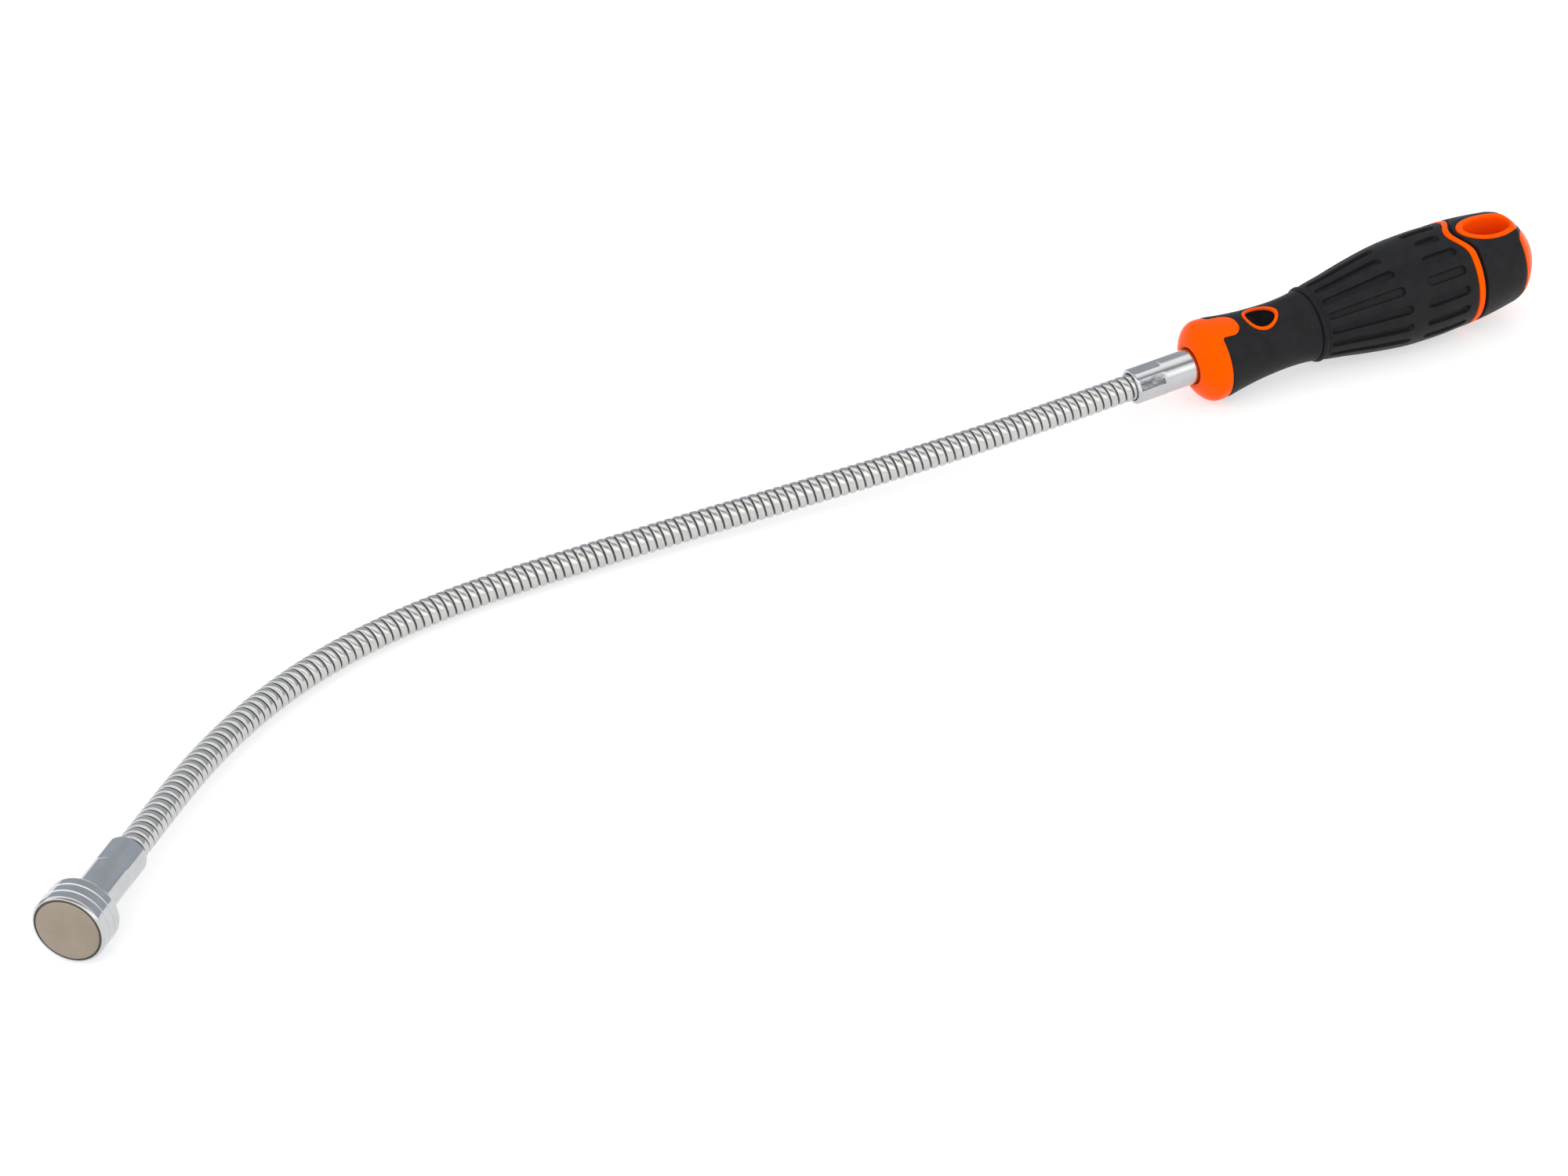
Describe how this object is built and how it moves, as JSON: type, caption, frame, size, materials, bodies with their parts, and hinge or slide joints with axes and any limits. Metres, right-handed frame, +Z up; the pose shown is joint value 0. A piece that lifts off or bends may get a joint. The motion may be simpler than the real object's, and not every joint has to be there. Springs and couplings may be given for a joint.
{
  "type": "magnetic pickup tool",
  "caption": "Flexible magnetic pickup tool: moulded two-colour handle, chrome ferrule, bendable steel gooseneck and a chrome cup holding a disc magnet for fetching dropped steel parts.",
  "frame": {"origin": "on the floor, under the middle of the bounding box of the tool as it lies at rest", "axes": "+Z up; +X along the handle from the magnet end toward the butt; the neck bows toward -Y"},
  "size_m": [0.5082, 0.1196, 0.0351],
  "materials": {
    "orange_plastic": "smooth glossy moulded plastic",
    "black_grip": "satin, finely textured soft grip rubber",
    "black_gloss": "glossy black plastic",
    "chrome": "polished, lightly brushed chrome plate",
    "shank_steel": "plain turned steel",
    "neck_wrap_steel": "bright plated wire",
    "neck_spring_steel": "dark drawn spring wire",
    "magnet_nickel": "satin warm grey nickel plate"
  },
  "bodies": {
    "handle": {"handle_core": "orange_plastic", "front_grip": "black_grip", "main_grip": "black_grip", "rear_grip": "black_grip", "window_insert": "black_gloss", "ferrule": "chrome", "shank": "shank_steel", "neck_wrap_00": "neck_wrap_steel", "neck_spring_00": "neck_spring_steel"},
    "link_01": {"neck_wrap_01": "neck_wrap_steel", "neck_spring_01": "neck_spring_steel"},
    "link_02": {"neck_wrap_02": "neck_wrap_steel", "neck_spring_02": "neck_spring_steel"},
    "link_03": {"neck_wrap_03": "neck_wrap_steel", "neck_spring_03": "neck_spring_steel"},
    "link_04": {"neck_wrap_04": "neck_wrap_steel", "neck_spring_04": "neck_spring_steel"},
    "link_05": {"neck_wrap_05": "neck_wrap_steel", "neck_spring_05": "neck_spring_steel"},
    "link_06": {"neck_wrap_06": "neck_wrap_steel", "neck_spring_06": "neck_spring_steel"},
    "link_07": {"neck_wrap_07": "neck_wrap_steel", "neck_spring_07": "neck_spring_steel"},
    "link_08": {"neck_wrap_08": "neck_wrap_steel", "neck_spring_08": "neck_spring_steel"},
    "link_09": {"neck_wrap_09": "neck_wrap_steel", "neck_spring_09": "neck_spring_steel"},
    "link_10": {"neck_wrap_10": "neck_wrap_steel", "neck_spring_10": "neck_spring_steel"},
    "link_11": {"neck_wrap_11": "neck_wrap_steel", "neck_spring_11": "neck_spring_steel"},
    "link_12": {"neck_wrap_12": "neck_wrap_steel", "neck_spring_12": "neck_spring_steel"},
    "link_13": {"neck_wrap_13": "neck_wrap_steel", "neck_spring_13": "neck_spring_steel"},
    "link_14": {"neck_wrap_14": "neck_wrap_steel", "neck_spring_14": "neck_spring_steel"},
    "link_15": {"neck_wrap_15": "neck_wrap_steel", "neck_spring_15": "neck_spring_steel"},
    "link_16": {"neck_wrap_16": "neck_wrap_steel", "neck_spring_16": "neck_spring_steel"},
    "link_17": {"neck_wrap_17": "neck_wrap_steel", "neck_spring_17": "neck_spring_steel"},
    "link_18": {"neck_wrap_18": "neck_wrap_steel", "neck_spring_18": "neck_spring_steel"},
    "link_19": {"neck_wrap_19": "neck_wrap_steel", "neck_spring_19": "neck_spring_steel"},
    "head": {"neck_wrap_20": "neck_wrap_steel", "neck_spring_20": "neck_spring_steel", "magnet_cup": "chrome", "magnet_sleeve": "black_gloss", "magnet": "magnet_nickel"}
  },
  "joints": [
    {"name": "neck_turn_01", "type": "hinge", "parent": "handle", "child": "link_01", "pos_m": [0.09938, 0.04244, 0.0114], "axis": [0, 0, 1], "range_deg": [-18, 18]},
    {"name": "neck_lift_02", "type": "hinge", "parent": "link_01", "child": "link_02", "pos_m": [0.0813, 0.0425, 0.01046], "axis": [0.0096, 1, 0], "range_deg": [-18, 18]},
    {"name": "neck_turn_03", "type": "hinge", "parent": "link_02", "child": "link_03", "pos_m": [0.06322, 0.04279, 0.00955], "axis": [0, 0, 1], "range_deg": [-17, 19]},
    {"name": "neck_lift_04", "type": "hinge", "parent": "link_03", "child": "link_04", "pos_m": [0.04515, 0.04341, 0.0087], "axis": [0.0444, 0.999, 0], "range_deg": [-18, 18]},
    {"name": "neck_turn_05", "type": "hinge", "parent": "link_04", "child": "link_05", "pos_m": [0.02709, 0.04439, 0.00791], "axis": [0, 0, 1], "range_deg": [-17, 19]},
    {"name": "neck_lift_06", "type": "hinge", "parent": "link_05", "child": "link_06", "pos_m": [0.00904, 0.04563, 0.00719], "axis": [0.0705, 0.9975, 0], "range_deg": [-18, 18]},
    {"name": "neck_turn_07", "type": "hinge", "parent": "link_06", "child": "link_07", "pos_m": [-0.009, 0.04694, 0.00654], "axis": [0, 0, 1], "range_deg": [-18, 18]},
    {"name": "neck_lift_08", "type": "hinge", "parent": "link_07", "child": "link_08", "pos_m": [-0.02705, 0.04814, 0.00599], "axis": [0.0586, 0.9983, 0], "range_deg": [-18, 18]},
    {"name": "neck_turn_09", "type": "hinge", "parent": "link_08", "child": "link_09", "pos_m": [-0.04513, 0.04906, 0.00553], "axis": [0, 0, 1], "range_deg": [-19, 17]},
    {"name": "neck_lift_10", "type": "hinge", "parent": "link_09", "child": "link_10", "pos_m": [-0.06322, 0.04963, 0.00516], "axis": [0.0217, 0.9998, 0], "range_deg": [-18, 18]},
    {"name": "neck_turn_11", "type": "hinge", "parent": "link_10", "child": "link_11", "pos_m": [-0.08132, 0.04985, 0.0049], "axis": [0, 0, 1], "range_deg": [-20, 16]},
    {"name": "neck_lift_12", "type": "hinge", "parent": "link_11", "child": "link_12", "pos_m": [-0.09941, 0.04941, 0.00474], "axis": [-0.0616, 0.9981, 0], "range_deg": [-18, 18]},
    {"name": "neck_turn_13", "type": "hinge", "parent": "link_12", "child": "link_13", "pos_m": [-0.11742, 0.04762, 0.0047], "axis": [0, 0, 1], "range_deg": [-24, 12]},
    {"name": "neck_lift_14", "type": "hinge", "parent": "link_13", "child": "link_14", "pos_m": [-0.13512, 0.0439, 0.00478], "axis": [-0.2697, 0.9629, 0], "range_deg": [-18, 18]},
    {"name": "neck_turn_15", "type": "hinge", "parent": "link_14", "child": "link_15", "pos_m": [-0.15218, 0.03788, 0.00498], "axis": [0, 0, 1], "range_deg": [-26, 10]},
    {"name": "neck_lift_16", "type": "hinge", "parent": "link_15", "child": "link_16", "pos_m": [-0.16822, 0.02953, 0.0053], "axis": [-0.522, 0.853, 0], "range_deg": [-18, 18]},
    {"name": "neck_turn_17", "type": "hinge", "parent": "link_16", "child": "link_17", "pos_m": [-0.18296, 0.01905, 0.00575], "axis": [0, 0, 1], "range_deg": [-25, 11]},
    {"name": "neck_lift_18", "type": "hinge", "parent": "link_17", "child": "link_18", "pos_m": [-0.19631, 0.00685, 0.00634], "axis": [-0.7084, 0.7058, 0], "range_deg": [-18, 18]},
    {"name": "neck_turn_19", "type": "hinge", "parent": "link_18", "child": "link_19", "pos_m": [-0.20846, -0.00654, 0.00707], "axis": [0, 0, 1], "range_deg": [-21, 15]},
    {"name": "neck_lift_20", "type": "hinge", "parent": "link_19", "child": "head", "pos_m": [-0.21991, -0.02054, 0.00793], "axis": [-0.7767, 0.6299, 0], "range_deg": [-18, 18]}
  ]
}
